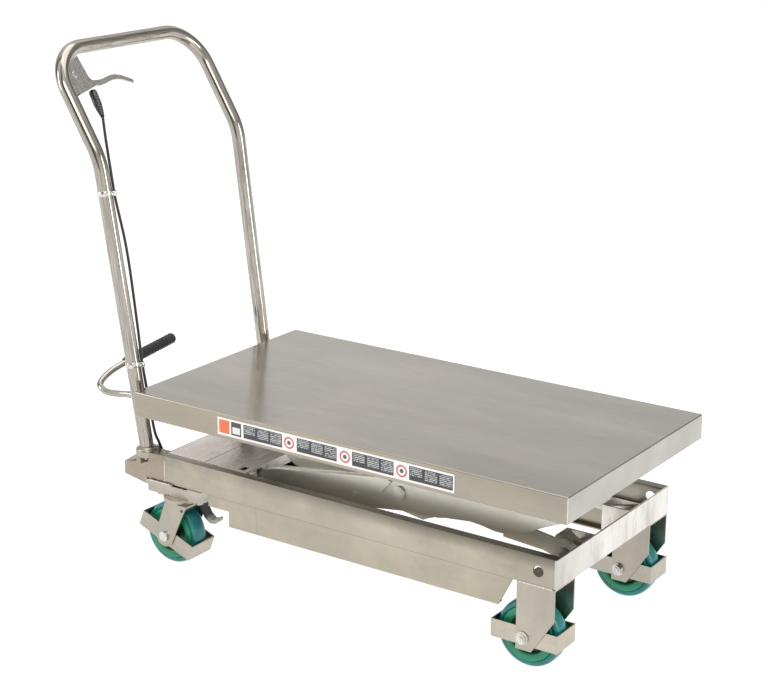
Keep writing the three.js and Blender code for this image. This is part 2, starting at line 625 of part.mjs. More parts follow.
const deckOuter = box(
  [-DECK_HALF_LENGTH, DECK_HALF_LENGTH], [-DECK_HALF_WIDTH, DECK_HALF_WIDTH], [DECK_BOTTOM, DECK_TOP],
);
const DECK_UNDER = DECK_TOP - DECK_SHEET;
const deckInner = box(
  [-DECK_HALF_LENGTH + DECK_SHEET, DECK_HALF_LENGTH - DECK_SHEET],
  [-DECK_HALF_WIDTH + DECK_SHEET, DECK_HALF_WIDTH - DECK_SHEET],
  [DECK_BOTTOM - 1, DECK_UNDER],
);
add('deck_pan', cut(deckOuter, deckInner), STEEL, 0.3);

// Subframe under the deck: roller tracks, cross bars and the brackets that hold the outer arms
const SUB_TOP = DECK_UNDER - GAP;
const TRACK_BOTTOM = DECK_PIVOT_Z + DECK_ROLLER_R + GAP;
const TRACK = [117, 141];
let subframe = union(
  box([384, 422], [-230, 230], [SUB_TOP - 6, SUB_TOP]),
  box([-300, -268], [-230, 230], [SUB_TOP - 6, SUB_TOP]),
);
for (const [, side] of SIDES) {
  const track = cut(
    box([-300, 376], span(side, TRACK), [TRACK_BOTTOM, SUB_TOP]),
    box([-301, 377], span(side, [TRACK[0] + 3, TRACK[1] - 3]), [TRACK_BOTTOM + 3, SUB_TOP - 3]),
  );
  const rib = box([370, 386], span(side, [TRACK[0], TRACK[0] + 3]), [TRACK_BOTTOM, SUB_TOP]);
  const cheekOutline = [
    [380, SUB_TOP - 1], ...arc(PIVOT_X, DECK_PIVOT_Z, 18, 195, 345, 8), [426, SUB_TOP - 1],
  ];
  const cheeks = [[138, 143], [155, 160]].map((slab) => plateXZ(cheekOutline, span(side, slab)));
  subframe = subframe.add(union(track, rib, ...cheeks));
}
const deckPinBore = barY(PIVOT_X, DECK_PIVOT_Z, [-200, 200], PIN_R + 0.4, 12);
add('deck_subframe', cut(subframe, deckPinBore), DARK_STEEL, 0.45);

add('deck_pivot_shaft', union(
  barY(PIVOT_X, DECK_PIVOT_Z, [-164, 164], PIN_R, 12),
  hexHead(PIVOT_X, DECK_PIVOT_Z, [-166, -160.4], 12), hexHead(PIVOT_X, DECK_PIVOT_Z, [160.4, 166], 12),
), BRIGHT, 0.25);

add('label_strip', box(
  [-270.7, 257.3], [-DECK_HALF_WIDTH - 0.9, -DECK_HALF_WIDTH - GAP], [322.5, 357],
), 0xf2f2f0, 0.45, 0);

// ---------- hydraulic cylinder and its foot ----------

const footCheeks = [[17, 23], [-23, -17]].map((slab) => plateXZ(
  [[-170, 126], [-170, 150], [-158, 168], [-142, 168], [-130, 150], [-130, 126]], slab,
));
const MEMBER_HALF_WIDTH = SKIRT_OUTER - 3 - GAP;
const hangers = SIDES.map(([, side]) => (
  box([-174, -126], span(side, [MEMBER_HALF_WIDTH - 3, MEMBER_HALF_WIDTH]), [123, 160])
));
add('cylinder_cross_member', union(
  box([-174, -126], [-MEMBER_HALF_WIDTH, MEMBER_HALF_WIDTH], [123, 129]), ...footCheeks, ...hangers,
  barY(FOOT_X, FOOT_Z, [-26, 26], 7, 12),
), DARK_STEEL, 0.45);

const cylinderLine = new THREE.Vector3(EYE_X - FOOT_X, 0, EYE_Z - FOOT_Z);
const cylinderReach = cylinderLine.length();
cylinderLine.normalize();
const onCylinder = (s) => [FOOT_X + cylinderLine.x * s, 0, FOOT_Z + cylinderLine.z * s];
add('cylinder_barrel', cut(
  union(
    barY(FOOT_X, FOOT_Z, [-16, 16], 15, 12), bar(onCylinder(8), onCylinder(40), 13, 12),
    bar(onCylinder(34), onCylinder(246), 24, 20), bar(onCylinder(238), onCylinder(252), 27, 20),
  ),
  barY(FOOT_X, FOOT_Z, [-20, 20], 7.4, 12), bar(onCylinder(58), onCylinder(238), 20.5, 20),
  bar(onCylinder(230), onCylinder(260), 13.4, 12),
), DARK_STEEL, 0.4);

add('cylinder_rod', cut(
  union(
    bar(onCylinder(66), onCylinder(84), 20, 20), bar(onCylinder(80), onCylinder(cylinderReach - 21), 13, 12),
    barY(EYE_X, EYE_Z, [-14, 14], 25, 24),
  ),
  barY(EYE_X, EYE_Z, [-20, 20], 18.4, 24),
), BRIGHT, 0.12);

// ---------- casters ----------

const hubProfile = [
  [AXLE_R + 0.4, -21], [14, -21], [15, -8], [35, -8], [38.5, -20], [51, -20], [52.2, -16],
  [52.2, 16], [51, 20], [38.5, 20], [35, 8], [15, 8], [14, 21], [AXLE_R + 0.4, 21],
];
const treadProfile = [
  [52.5, -17], [60, -17.5], [WHEEL_R, -12], [WHEEL_R, 12], [60, 17.5], [52.5, 17],
];
function wheel(name, x, y) {
  add(`hub_${name}`, turned(hubProfile, x, y, WHEEL_R, 18), HUB_GREEN, 0.35, 0);
  add(`tread_${name}`, turned(treadProfile, x, y, WHEEL_R, 30), TREAD_TEAL, 0.2, 0);
}

function guardRing(x, y, halfWidth, tilt) {
  const shell = (half, wide, high) => {
    const geometry = new THREE.BoxGeometry(2 * half, 2 * wide, high);
    geometry.rotateY(tilt);
    geometry.translate(x, y, WHEEL_R + (tilt ? 0 : 1.8));
    return solid(geometry);
  };
  return cut(
    shell(GUARD_HALF_LENGTH, halfWidth, GUARD_HEIGHT),
    shell(GUARD_HALF_LENGTH - GUARD_SHEET, halfWidth - GUARD_SHEET, GUARD_HEIGHT + 2),
    barY(x, WHEEL_R, [y - 60, y + 60], AXLE_R + 0.4, 12),
  );
}

const LEG_INNER = 33.2;
const LEG_OUTER = 36.2;
for (const [name, side] of SIDES) {
  const y = side * RIGID_Y;
  const legOutline = [[361.5, 169], [361.5, 40], [393, 40], [437, 108], [437, 169]];
  const legs = [[-LEG_OUTER, -LEG_INNER], [LEG_INNER, LEG_OUTER]]
    .map((slab) => plateXZ(legOutline, slab.map((v) => v + y)));
  const top = box([361.5, 437], [y - LEG_OUTER, y + LEG_OUTER], [165.5, RAIL_BOTTOM - GAP]);
  const axleBore = barY(RIGID_X, WHEEL_R, [y - 60, y + 60], AXLE_R + 0.4, 12);
  add(`rigid_fork_${name}`, cut(union(...legs, top), axleBore), STEEL);
  add(`rigid_guard_${name}`, guardRing(RIGID_X, y, LEG_INNER - GAP, 0), STEEL);
  add(`rigid_axle_${name}`, union(
    barY(RIGID_X, WHEEL_R, [y - 46, y + 46], AXLE_R, 12),
    barY(RIGID_X, WHEEL_R, [y - 38.4, y - LEG_OUTER - GAP], 12.5, 12),
    barY(RIGID_X, WHEEL_R, [y + LEG_OUTER + GAP, y + 38.4], 12.5, 12),
    hexHead(RIGID_X, WHEEL_R, [y - 44.5, y - 37.5], 10.5),
    hexHead(RIGID_X, WHEEL_R, [y + 37.5, y + 44.5], 10.5),
  ), BRIGHT, 0.2);
  wheel(`rigid_${name}`, RIGID_X, y);
}

const FORK_INNER = 34.9;
const FORK_OUTER = 37.9;
const CROWN_TOP = 144.7;
const LEG_TOP = 137.4;
const BRAKE_X = -391;
const BRAKE_Z = 127;
for (const [name, side] of SIDES) {
  const y = side * SWIVEL_Y;
  const outside = (depth) => y + side * depth;
  const rearCorner = arc(FRAME_CORNER_X, 8, FRAME_CORNER_R, 180, 90, 5)
    .map(([x, depth]) => [x, outside(depth)]);
  const framePlate = plateXY([
    [-490, outside(-40)], [-490, outside(2.8)], [FRAME_BACK, outside(2.8)], ...rearCorner,
    [-357, outside(26)], [-343, outside(14)], [-343, outside(-40)],
  ], [160, RAIL_BOTTOM - GAP]);
  const slit = box([-426, -388], [outside(14), outside(30)], [167.4, 170]);
  const casterPlate = plateXY([
    [-470, outside(-36)], [-488, outside(-24)], [-488, outside(3)], [-501, outside(3)], [-501, outside(10)],
    [-490, outside(23)],
    [-364, outside(23)], [-352, outside(10)], [-352, outside(-24)], [-366, outside(-36)],
  ], [145, 161]);
  const bolts = [[-468, -24], [-468, 10], [-368, -24], [-368, 10]]
    .map(([x, depth]) => disc(x, outside(depth), [138.5, 146], 7.5, 6));
  add(`swivel_mount_${name}`, cut(union(
    framePlate, casterPlate, ...bolts,
    disc(SWIVEL_X, y, [129, 150], 8, 12), disc(SWIVEL_X, y, [128.5, 133], 12, 6),
  ), slit), STEEL, 0.4);

  const ends = arc(SWIVEL_AXLE_X, WHEEL_R, 22, 160, 340, 12);
  const forkOutline = [[-434, LEG_TOP], ...ends, [-380, LEG_TOP]];
  const legs = [[-FORK_OUTER, -FORK_INNER], [FORK_INNER, FORK_OUTER]]
    .map((slab) => plateXZ(forkOutline, slab.map((v) => v + y)));
  const crown = union(
    disc(SWIVEL_X, y, [LEG_TOP - 0.5, CROWN_TOP], 40, 24),
    box([-434, -380], [y - FORK_OUTER, y + FORK_OUTER], [LEG_TOP - 4, LEG_TOP]),
  );
  const bores = [
    barY(SWIVEL_AXLE_X, WHEEL_R, [y - 60, y + 60], AXLE_R + 0.4, 12),
    barY(BRAKE_X, BRAKE_Z, [y - 60, y + 60], 3.4, 12), disc(SWIVEL_X, y, [130, 150], 8.4, 12),
  ];
  add(`swivel_fork_${name}`, cut(union(...legs, crown), ...bores), BRIGHT);
  add(`swivel_guard_${name}`, guardRing(SWIVEL_AXLE_X, y, FORK_INNER - GAP, GUARD_TILT), STEEL);
  add(`swivel_axle_${name}`, union(
    barY(SWIVEL_AXLE_X, WHEEL_R, [y - 42, y + 42], AXLE_R, 12),
    barY(SWIVEL_AXLE_X, WHEEL_R, [y - 42.6, y - FORK_OUTER - GAP], 10.2, 12),
    barY(SWIVEL_AXLE_X, WHEEL_R, [y + FORK_OUTER + GAP, y + 42.6], 10.2, 12),
  ), BRIGHT, 0.2);
  wheel(`swivel_${name}`, SWIVEL_AXLE_X, y);

  const treadle = plateXZ([
    [BRAKE_X - 5, 124], [BRAKE_X + 3, 118], [-378, 101], [-364, 91], [-350, 92], [-345, 98], [-347, 104],
    [-352, 100], [-362, 98], [-373, 107], [BRAKE_X + 8, 125], [BRAKE_X + 3, 131], [BRAKE_X - 4, 131],
  ], [y - side * 33.4, y - side * 14]);
  add(`brake_pedal_${name}`, union(
    treadle, barY(BRAKE_X, BRAKE_Z, [y - FORK_OUTER + 0.5, y + FORK_OUTER - 0.5], 3, 12),
  ), 0x2c2c2c, 0.4);
}

export default group;
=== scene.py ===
import math

import bpy
from mathutils import Matrix, Vector


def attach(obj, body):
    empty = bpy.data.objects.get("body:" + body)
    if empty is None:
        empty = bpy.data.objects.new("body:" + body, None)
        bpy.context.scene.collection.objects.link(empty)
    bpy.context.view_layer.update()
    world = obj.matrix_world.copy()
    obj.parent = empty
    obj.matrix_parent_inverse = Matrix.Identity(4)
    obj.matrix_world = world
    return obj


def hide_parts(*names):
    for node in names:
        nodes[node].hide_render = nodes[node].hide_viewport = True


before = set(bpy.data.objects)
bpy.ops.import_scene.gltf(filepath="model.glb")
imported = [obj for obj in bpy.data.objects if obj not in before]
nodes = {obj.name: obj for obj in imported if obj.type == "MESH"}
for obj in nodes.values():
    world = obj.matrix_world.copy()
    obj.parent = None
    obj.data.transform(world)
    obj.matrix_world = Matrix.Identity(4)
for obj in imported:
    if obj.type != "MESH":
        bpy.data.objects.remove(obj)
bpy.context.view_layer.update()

SIDES = (("near", -1), ("far", 1))
MM = 0.001


# ---------- camera, light and floor ----------

CAMERA_AT = Vector((1.8500, -2.7880, 1.5141))
YAW, PITCH, ROLL = math.radians(34.548), math.radians(17.227), math.radians(0.187)
back = Vector((math.sin(YAW) * math.cos(PITCH), -math.cos(YAW) * math.cos(PITCH), math.sin(PITCH)))
right = (-back).cross(Vector((0, 0, 1))).normalized()
up = right.cross(-back)
cam_right = right * math.cos(ROLL) + up * math.sin(ROLL)
cam_up = -right * math.sin(ROLL) + up * math.cos(ROLL)
camera_data = bpy.data.cameras.new("camera")
camera_data.lens = 86.88
camera_data.sensor_width = 36
camera_data.sensor_fit = "HORIZONTAL"
camera_data.clip_end = 60
camera = bpy.data.objects.new("camera", camera_data)
turn = Matrix((cam_right, cam_up, back)).transposed()
camera.matrix_world = Matrix.Translation(CAMERA_AT) @ turn.to_4x4()
bpy.context.scene.collection.objects.link(camera)
bpy.context.scene.camera = camera


def area_light(name, at, target, size, power, color=(1, 1, 1)):
    data = bpy.data.lights.new(name, "AREA")
    data.shape = "RECTANGLE"
    data.size, data.size_y = size
    data.energy = power
    data.color = color
    lamp = bpy.data.objects.new(name, data)
    direction = Vector(target) - Vector(at)
    lamp.matrix_world = Matrix.Translation(at) @ direction.to_track_quat("-Z", "Y").to_matrix().to_4x4()
    bpy.context.scene.collection.objects.link(lamp)


area_light("key_light", (1.2, -3.0, 3.4), (0, 0, 0.3), (2.2, 1.4), 40, (1, 0.975, 0.93))
area_light("side_light", (3.6, 0.4, 1.5), (0.1, 0, 0.3), (1.0, 2.4), 42, (1, 0.99, 0.98))
area_light("left_light", (-3.0, -2.4, 1.7), (-0.2, 0, 0.4), (0.8, 2.4), 26, (0.98, 0.99, 1))
area_light("top_light", (-0.2, 0.6, 3.8), (0, 0, 0.4), (3.0, 2.4), 36)


def ramp_node(tree, stops, source):
    node = tree.nodes.new("ShaderNodeValToRGB")
    tree.links.new(source, node.inputs[0])
    while len(node.color_ramp.elements) < len(stops):
        node.color_ramp.elements.new(0.5)
    for stop, (place, grey) in zip(node.color_ramp.elements, stops):
        stop.position = place
        stop.color = (grey, grey * 0.995, grey * 0.985, 1)
    return node.outputs[0]


def studio_world():
    """White studio: brightness by height, with darker flags round the horizon for the metal to reflect."""
    world = bpy.data.worlds.new("studio")
    bpy.context.scene.world = world
    world.use_nodes = True
    tree = world.node_tree
    tree.nodes.clear()
    at = tree.nodes.new("ShaderNodeTexCoord").outputs["Generated"]
    split = tree.nodes.new("ShaderNodeSeparateXYZ")
    tree.links.new(at, split.inputs[0])
    height = tree.nodes.new("ShaderNodeMapRange")
    height.inputs[1].default_value = -1
    tree.links.new(split.outputs["Z"], height.inputs[0])
    around = tree.nodes.new("ShaderNodeMath")
    around.operation = "ARCTAN2"
    tree.links.new(split.outputs["Y"], around.inputs[0])
    tree.links.new(split.outputs["X"], around.inputs[1])
    turn = tree.nodes.new("ShaderNodeMapRange")
    turn.inputs[1].default_value = -math.pi
    turn.inputs[2].default_value = math.pi
    tree.links.new(around.outputs[0], turn.inputs[0])
    by_height = ramp_node(tree, SKY_BY_HEIGHT, height.outputs[0])
    by_turn = ramp_node(tree, SKY_BY_TURN, turn.outputs[0])
    product = tree.nodes.new("ShaderNodeMix")
    product.data_type = "RGBA"
    product.blend_type = "MULTIPLY"
    product.inputs[0].default_value = 1
    tree.links.new(by_height, product.inputs[6])
    tree.links.new(by_turn, product.inputs[7])
    background = tree.nodes.new("ShaderNodeBackground")
    background.inputs["Strength"].default_value = 1.15
    tree.links.new(product.outputs[2], background.inputs["Color"])
    output = tree.nodes.new("ShaderNodeOutputWorld")
    tree.links.new(background.outputs[0], output.inputs["Surface"])


# (place, grey) stops: by height from straight down to straight up, and by turn from -X round by -Y (0.25),
# +X (0.5) and +Y (0.75)
SKY_BY_HEIGHT = ((0.0, 0.95), (0.50, 0.92), (0.62, 0.80), (0.68, 0.62), (0.74, 0.58), (0.84, 0.95),
                 (1.0, 1.0))
SKY_BY_TURN = ((0.0, 0.85), (0.05, 0.12), (0.09, 1.0), (0.21, 1.0), (0.25, 0.14), (0.30, 0.30), (0.34, 1.0),
               (0.46, 1.0), (0.49, 0.10), (0.53, 0.9), (0.64, 0.60), (0.70, 0.30), (0.76, 0.92), (0.83, 0.95),
               (0.88, 1.0), (1.0, 0.85))
studio_world()
bpy.context.scene.view_settings.view_transform = "Standard"

# ---------- materials ----------


class Graph:
    """A material's node tree with short names for what this script adds."""

    def __init__(self, name):
        self.material = bpy.data.materials.new(name)
        self.material.use_nodes = True
        self.nodes = self.material.node_tree.nodes
        self.links = self.material.node_tree.links
        self.shader = self.nodes["Principled BSDF"]
        self.at = self.nodes.new("ShaderNodeTexCoord").outputs["Object"]

    def link(self, source, socket):
        self.links.new(source, socket)

    def set(self, **values):
        for key, value in values.items():
            self.shader.inputs[key.replace("_", " ")].default_value = value

    def scaled(self, scale, source=None):
        node = self.nodes.new("ShaderNodeMapping")
        node.inputs["Scale"].default_value = scale
        self.link(source or self.at, node.inputs["Vector"])
        return node.outputs[0]

    def noise(self, vector, scale=1.0, detail=4.0, rough=0.55):
        node = self.nodes.new("ShaderNodeTexNoise")
        node.inputs["Scale"].default_value = scale
        node.inputs["Detail"].default_value = detail
        node.inputs["Roughness"].default_value = rough
        self.link(vector, node.inputs["Vector"])
        return node.outputs[0]

    def mix(self, factor, a, b, mode="MIX"):
        node = self.nodes.new("ShaderNodeMix")
        node.data_type = "RGBA"
        node.blend_type = mode
        for socket, value in ((node.inputs[0], factor), (node.inputs[6], a), (node.inputs[7], b)):
            if isinstance(value, (int, float)):
                socket.default_value = value if socket.type == "VALUE" else (value, value, value, 1)
            elif isinstance(value, tuple):
                socket.default_value = (*value, 1)
            else:
                self.link(value, socket)
        return node.outputs[2]

    def math(self, operation, a, b=0.5, c=0.5):
        node = self.nodes.new("ShaderNodeMath")
        node.operation = operation
        for socket, value in zip(node.inputs, (a, b, c)):
            if isinstance(value, (int, float)):
                socket.default_value = value
            else:
                self.link(value, socket)
        return node.outputs[0]

    def range(self, value, low, high, out_low, out_high):
        node = self.nodes.new("ShaderNodeMapRange")
        for socket, number in zip(node.inputs[1:5], (low, high, out_low, out_high)):
            socket.default_value = number
        self.link(value, node.inputs[0])
        return node.outputs[0]

    def axes(self, source=None):
        """The X, Y and Z outputs of a vector, by default of the place on the object."""
        split = self.nodes.new("ShaderNodeSeparateXYZ")
        self.link(source or self.at, split.inputs[0])
        return split.outputs

    def facing(self, axis, low, high):
        """0 to 1 as the surface's own normal turns along an axis; stays with the object."""
        normal = self.nodes.new("ShaderNodeNewGeometry").outputs["Normal"]
        return self.range(self.axes(normal)[axis], low, high, 0, 1)

    def pointiness(self, low, high):
        geometry = self.nodes.new("ShaderNodeNewGeometry")
        return self.range(geometry.outputs["Pointiness"], low, high, 0, 1)

    def bump(self, height, strength, distance):
        node = self.nodes.new("ShaderNodeBump")
        node.inputs["Strength"].default_value = strength
        node.inputs["Distance"].default_value = distance
        self.link(height, node.inputs["Height"])
        self.link(node.outputs[0], self.shader.inputs["Normal"])


STREAK = {"x": (3, 420, 420), "y": (420, 3, 420), "z": (420, 420, 3)}
PATCH = {"x": (2.2, 9, 9), "y": (9, 2.2, 9), "z": (9, 9, 2.2)}


def brushed(name, axis, color, warm=(0.70, 0.60, 0.46), rough=(0.26, 0.40), metallic=1.0,
            grain=0.22, tint=0.3, extra=None):
    """Brushed stainless steel: fine scratches along an axis, cloudy tone, warm heat tint in patches, and a
    painted highlight on sharp edges.
    """
    g = Graph(name)
    fine = g.noise(g.scaled(STREAK[axis]), 1.0, 5, 0.7)
    broad = g.noise(g.scaled(PATCH[axis]), 1.0, 4, 0.6)
    cloud = g.noise(g.at, 5.5, 5, 0.62)
    smudge = g.noise(g.at, 38.0, 6, 0.7)
    dark = tuple(c * 0.86 for c in color)
    light = tuple(min(1, c * 1.09) for c in color)
    tone = g.mix(g.range(broad, 0.34, 0.66, 0, 1), dark, light)
    tone = g.mix(g.range(fine, 0.3, 0.7, 0.0, 0.28), tone, tuple(c * 0.74 for c in color))
    tone = g.mix(g.range(cloud, 0.46, 0.66, 0.0, tint), tone, warm)
    tone = g.mix(g.range(smudge, 0.52, 0.70, 0.0, tint * 0.5), tone, tuple(c * 0.66 for c in color))
    # painted highlight: sharp edges lighter
    tone = g.mix(g.math("MULTIPLY", g.pointiness(0.52, 0.60), 0.45), tone, light)
    if extra:
        tone = extra(g, tone)
    g.link(tone, g.shader.inputs["Base Color"])
    uneven = g.math("ADD", g.math("MULTIPLY", fine, 0.6), g.math("MULTIPLY", smudge, 0.4))
    g.link(g.range(uneven, 0.3, 0.7, *rough), g.shader.inputs["Roughness"])
    g.set(Metallic=metallic, Anisotropic=0.45)
    height = g.math("ADD", fine, g.math("MULTIPLY", broad, 0.9))
    g.bump(height, grain, 0.0004)
    return g.material


def polished(name, color, rough=(0.10, 0.24), along_uv=False, grain=0.08):
    """Polished tube or machined steel with faint lengthwise lines."""
    g = Graph(name)
    if along_uv:
        uv = g.nodes.new("ShaderNodeTexCoord").outputs["UV"]
        lines = g.noise(g.scaled((24, 1.1, 1), uv), 1.0, 5, 0.72)
    else:
        lines = g.noise(g.scaled((260, 260, 60)), 1.0, 4, 0.6)
    cloud = g.noise(g.at, 16.0, 5, 0.6)
    dark = tuple(c * (0.48 if along_uv else 0.74) for c in color)
    tone = g.mix(g.range(lines, 0.38, 0.60, 0, 1), dark, color)
    tone = g.mix(g.range(cloud, 0.5, 0.75, 0, 0.28), tone, (color[0] * 0.9, color[1] * 0.82, color[2] * 0.70))
    g.link(tone, g.shader.inputs["Base Color"])
    g.link(g.range(lines, 0.3, 0.7, *rough), g.shader.inputs["Roughness"])
    g.set(Metallic=1.0)
    g.bump(lines, grain, 0.0003)
    return g.material


def moulded(name, color, rough=(0.25, 0.4), grain=260.0, strength=0.12, coat=0.0, mottle=0.18, extra=None):
    """Moulded plastic or rubber: slight mottling, a fine surface texture and lighter sharp edges, partly wear
    and partly a painted highlight.
    """
    g = Graph(name)
    cloud = g.noise(g.at, 22.0, 5, 0.6)
    fine = g.noise(g.at, grain, 3, 0.6)
    tone = g.mix(g.range(cloud, 0.35, 0.68, 0, 1), tuple(c * (1 - mottle) for c in color),
                 tuple(min(1, c * (1 + mottle)) for c in color))
    # sharp edges lighter: part wear, part painted highlight
    edge_wear_and_highlight = tuple(min(1, c * 1.7 + 0.04) for c in color)
    tone = g.mix(g.math("MULTIPLY", g.pointiness(0.53, 0.62), 0.35), tone, edge_wear_and_highlight)
    if extra:
        tone = extra(g, tone)
    g.link(tone, g.shader.inputs["Base Color"])
    g.link(g.range(fine, 0.3, 0.7, *rough), g.shader.inputs["Roughness"])
    g.set(Metallic=0.0, Coat_Weight=coat, Coat_Roughness=0.08)
    g.bump(fine, strength, 0.0004)
    return g.material


def painted_shade_under_rail(g, tone):
    """Painted shade: the skirt darkens just under the rail above it."""
    at = g.axes()
    return g.mix(g.range(at["Z"], 0.1640, 0.1675, 0, 0.72), tone, (0.10, 0.09, 0.075))


def painted_shade_near_face(g, tone):
    """Painted shade: the deck's folded -Y edge is darker and warmer than its top; the whole deck is slightly
    darker towards +X.
    """
    at = g.axes()
    tone = g.mix(g.range(at["X"], -0.05, 0.48, 0.0, 0.10), tone, 0.30)
    shaded_tone = g.mix(1.0, tone, (0.80, 0.765, 0.685), "MULTIPLY")
    return g.mix(g.facing("Y", -0.3, -0.8), tone, shaded_tone)


def grind_marks_and_shade(g, tone):
    """Brown and grey grinding marks that run up the front plate, and painted shade: the plate is darker
    towards -Y.
    """
    at = g.axes()
    marks = g.noise(g.scaled((30, 30, 8)), 1.0, 6, 0.62)
    tone = g.mix(g.range(marks, 0.50, 0.68, 0.0, 0.50), tone, (0.36, 0.305, 0.245))
    return g.mix(g.range(at["Y"], -0.06, -0.214, 0.0, 0.55), tone, (0.40, 0.375, 0.335))


def worn_tip(g, tone):
    """Bare metal where the brake pedal's paint is worn off its tip."""
    at = g.axes()
    return g.mix(g.range(at["X"], -0.372, -0.364, 0, 0.85), tone, (0.50, 0.49, 0.47))


def dark_recess(g, tone):
    """The hub is in shade inside its raised ring; U of its UV map is the radius in metres."""
    radius = g.axes(g.nodes.new("ShaderNodeTexCoord").outputs["UV"])["X"]
    inner = g.range(radius, 0.0385, 0.0355, 0, 0.86)
    return g.mix(inner, tone, (0.004, 0.035, 0.020))


def heat_tint_and_shade(g, tone):
    """Brown weld discolouring round the rear corners of the frame, which also stands in for shade there, and
    painted shade: a dark band along the top fold, stronger towards +X.
    """
    at = g.axes()
    near_weld = g.range(at["X"], -0.444, -0.450, 0, 1)
    wobble = g.range(g.noise(g.at, 30.0, 4, 0.6), 0.3, 0.6, 0.5, 1.0)
    tone = g.mix(g.math("MULTIPLY", g.math("MULTIPLY", near_weld, wobble), 0.75), tone, (0.33, 0.265, 0.205))
    # painted shade: a dark band along the rails' top fold, growing towards +X
    band = g.math("MULTIPLY", g.range(at["Z"], 0.2010, 0.2230, 0, 0.74),
                  g.range(at["X"], -0.28, 0.10, 0.25, 1.0))
    return g.mix(band, tone, (0.12, 0.108, 0.088))


DECK_GREY = (0.50, 0.475, 0.435)
FRAME_GREY = (0.40, 0.37, 0.305)
# the deck carries painted shade on its -Y face
deck_metal = brushed("deck_steel", "x", DECK_GREY, rough=(0.15, 0.24), grain=0.05, tint=0.14, extra=painted_shade_near_face)
# the frame carries painted shade along the rails' top fold and at the rear corners
frame_metal = brushed("frame_steel", "x", FRAME_GREY, rough=(0.24, 0.38), grain=0.12, tint=0.35,
                      extra=heat_tint_and_shade)
# the front plate carries painted shade towards -Y
end_metal = brushed("end_steel", "z", (0.80, 0.78, 0.75), rough=(0.16, 0.34), grain=0.08, extra=grind_marks_and_shade)
# the skirts carry painted shade just under the rails
skirt_metal = brushed("skirt_steel", "x", (0.41, 0.375, 0.305), rough=(0.26, 0.40), grain=0.10,
                      extra=painted_shade_under_rail)
cover_metal = brushed("cover_steel", "y", (0.97, 0.95, 0.93), rough=(0.18, 0.32), grain=0.04, metallic=0.60,
                      warm=(0.92, 0.66, 0.54), tint=0.8)
arm_metal = brushed("arm_steel", "x", (0.72, 0.70, 0.64), rough=(0.34, 0.50), grain=0.02)
dark_metal = brushed("inner_steel", "y", (0.52, 0.51, 0.48), rough=(0.34, 0.50), grain=0.02)
caster_metal = brushed("caster_steel", "z", (0.42, 0.39, 0.335), rough=(0.22, 0.40), grain=0.08, tint=0.4)
guard_metal = brushed("guard_steel", "x", (0.44, 0.41, 0.355), rough=(0.16, 0.34), grain=0.10, tint=0.6)
tube_metal = polished("tube_steel", (0.52, 0.485, 0.43), rough=(0.06, 0.17), along_uv=True)
bright_metal = polished("bright_steel", (0.80, 0.77, 0.72))
bolt_metal = polished("bolt_steel", (0.74, 0.72, 0.68), rough=(0.16, 0.32))
weld_metal = polished("weld_bead", (0.78, 0.74, 0.67), rough=(0.2, 0.42), grain=0.4)
hub_plastic = moulded("green_hub", (0.006, 0.225, 0.105), rough=(0.28, 0.42), coat=0.15, extra=dark_recess)
tread_rubber = moulded("teal_tread", (0.002, 0.185, 0.185), rough=(0.24, 0.38), coat=0.25, mottle=0.3)
black_rubber = moulded("black_rubber", (0.018, 0.018, 0.02), rough=(0.42, 0.6), strength=0.3)
black_gloss = moulded("black_boot", (0.012, 0.012, 0.014), rough=(0.12, 0.26), coat=0.4)
cable_black = moulded("cable_sheath", (0.014, 0.014, 0.015), rough=(0.3, 0.42))
brake_paint = moulded("brake_paint", (0.05, 0.055, 0.06), rough=(0.3, 0.45), extra=worn_tip)


def paint(material, *names):
    for name in names:
        data = nodes[name].data
        data.materials.clear()
        data.materials.append(material)


paint(deck_metal, "deck_pan")
paint(frame_metal, "rail_near", "rail_far", "rear_end_plate", "handle_socket_near",
      "handle_socket_far")
paint(end_metal, "front_end_plate", "base_pivot_bracket_near", "base_pivot_bracket_far")
paint(skirt_metal, "skirt_near", "skirt_far")
paint(cover_metal, "pump_cover")
paint(arm_metal, "outer_arm_near", "outer_arm_far", "inner_arm_frame")
paint(dark_metal, "deck_subframe", "pump_tray", "pump_unit", "cylinder_barrel", "cylinder_cross_member")
paint(bright_metal, "cylinder_rod", "pump_plunger", "lever_bracket", "release_lever")
paint(bolt_metal, "deck_pivot_shaft")
for side_name, _ in SIDES:
    paint(caster_metal, f"rigid_fork_{side_name}", f"swivel_fork_{side_name}")
    paint(guard_metal, f"rigid_guard_{side_name}", f"swivel_guard_{side_name}", f"swivel_mount_{side_name}")
    paint(bolt_metal, f"rigid_axle_{side_name}", f"swivel_axle_{side_name}",
          f"base_roller_{side_name}", f"deck_roller_{side_name}")
    paint(brake_paint, f"brake_pedal_{side_name}")


def bevelled(name, width, segments):
    """Joins the imported faces, drops their flat diagonals and adds a bevel with even shading."""
    modifiers = nodes[name].modifiers
    modifiers.new("join", "WELD").merge_threshold = 1e-5
    flat = modifiers.new("flat", "DECIMATE")
    flat.decimate_type = "DISSOLVE"
    flat.angle_limit = math.radians(0.5)
    bevel = modifiers.new("edge", "BEVEL")
    bevel.width = width
    bevel.segments = segments
    modifiers.new("crisp", "EDGE_SPLIT").split_angle = math.radians(50)
    modifiers.new("even", "WEIGHTED_NORMAL")
    return bevel


def soften(width, *names, segments=2):
    for name in names:
        bevel = bevelled(name, width, segments)
        bevel.limit_method = "ANGLE"
        bevel.angle_limit = math.radians(35)


def fold(name, width, chosen):
    """Rounds a sheet's folded edges: those whose two ends both lie where chosen(position) says."""
    obj = nodes[name]
    group = obj.vertex_groups.new(name="fold")
    group.add([v.index for v in obj.data.vertices if chosen(obj.matrix_world @ v.co)], 1.0, "REPLACE")
    bevel = bevelled(name, width, segments=5)
    bevel.limit_method = "VGROUP"
    bevel.vertex_group = group.name


